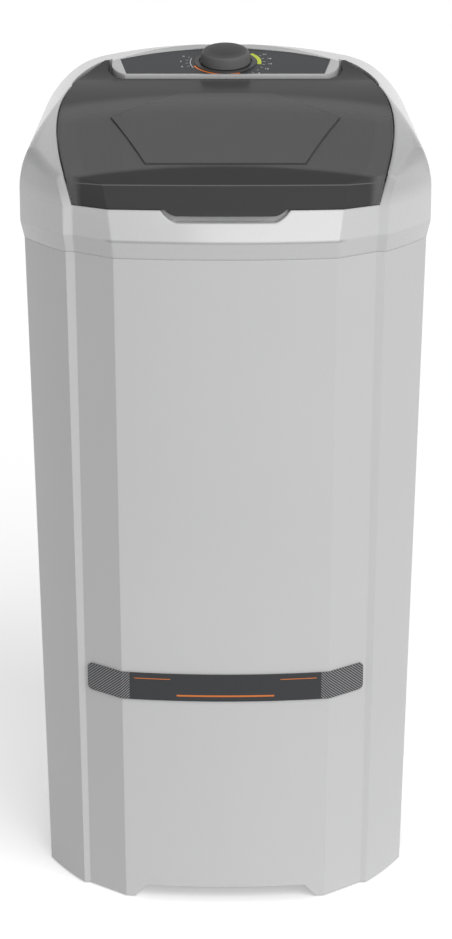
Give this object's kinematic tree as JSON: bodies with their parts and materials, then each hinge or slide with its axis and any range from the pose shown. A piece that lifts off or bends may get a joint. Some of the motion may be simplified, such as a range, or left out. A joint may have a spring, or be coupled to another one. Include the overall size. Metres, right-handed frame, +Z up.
{
  "type": "washing machine",
  "caption": "Tall silver-grey top-loading washing machine with a dark smoky hinged lid, a sloped rear console with a timer knob, a dark trim band and a belt-driven agitator.",
  "frame": {"origin": "on the floor under the middle of the machine's bounding box", "axes": "+Z up, the front faces -Y, +X to the right seen from the front"},
  "size_m": [0.5152, 0.5601, 1.0558],
  "materials": {
    "silver_body": "satin silver-grey moulded plastic",
    "silver_frame": "glossier silver-grey moulded plastic",
    "smoky_lid": "smoky dark tinted plastic",
    "dark_panel": "dark grey printed panel",
    "dark_band": "dark trim with fine lines",
    "ring_grey": "grey moulded ring",
    "knob_grey": "dark grey moulded knob",
    "tub_plastic": "pale grey polypropylene",
    "agitator_plastic": "pale blue-grey polypropylene",
    "black_plastic": "black moulded plastic",
    "rubber": "black rubber",
    "steel": "zinc-plated steel",
    "motor_paint": "dark painted steel",
    "bronze": "sintered bronze",
    "alloy": "cast light alloy"
  },
  "bodies": {
    "machine": {"cabinet": "silver_body", "front_band": "dark_band", "foot_pads": "rubber", "rear_cover": "silver_body", "rear_cover_screws": "steel", "cord_gland": "black_plastic", "drain_spigot": "black_plastic", "drain_hose": "rubber", "hose_clips": "steel", "drain_elbow": "black_plastic", "drain_strainer": "black_plastic", "tub": "tub_plastic", "frame_screws": "steel", "top_frame": "silver_frame", "control_panel": "dark_panel", "dial_ring": "ring_grey", "timer_body": "black_plastic", "timer_screws": "steel", "bearing_housing": "black_plastic", "housing_screws": "steel", "upper_bearing": "bronze", "lower_bearing": "bronze", "shaft_seal": "rubber", "drive_belt": "rubber", "motor_plate": "motor_paint", "plate_bolts": "steel", "motor_body": "motor_paint", "motor_screws": "steel", "capacitor": "alloy", "wiring_harness": "black_plastic"},
    "lid_body": {"lid": "smoky_lid", "lid_hinge_pins": "steel"},
    "timer_dial": {"timer_knob": "knob_grey", "timer_shaft": "steel"},
    "wash_drive": {"agitator": "agitator_plastic", "agitator_cap": "agitator_plastic", "agitator_shaft": "steel", "drive_pulley": "alloy", "pulley_nut": "steel"},
    "motor_rotor": {"motor_shaft": "steel", "motor_pulley": "alloy"}
  },
  "joints": [
    {"name": "lid_hinge", "type": "hinge", "parent": "machine", "child": "lid_body", "pos_m": [0, 0.112, 1.0066], "axis": [-1, 0, 0], "range_deg": [0, 95]},
    {"name": "timer_turn", "type": "hinge", "parent": "machine", "child": "timer_dial", "pos_m": [0, 0.171, 1.03286], "axis": [0, 0.2385, -0.9711], "range_deg": [0, 300]},
    {"name": "agitator_spin", "type": "hinge", "parent": "machine", "child": "wash_drive", "pos_m": [0, 0, 0.165], "axis": [0, 0, 1], "continuous": true},
    {"name": "motor_spin", "type": "hinge", "parent": "machine", "child": "motor_rotor", "pos_m": [0, 0.148, 0.165], "axis": [0, 0, 1], "continuous": true}
  ],
  "couplings": [
    {"joint": "motor_spin", "follows": "agitator_spin", "ratio": 4.5859}
  ]
}
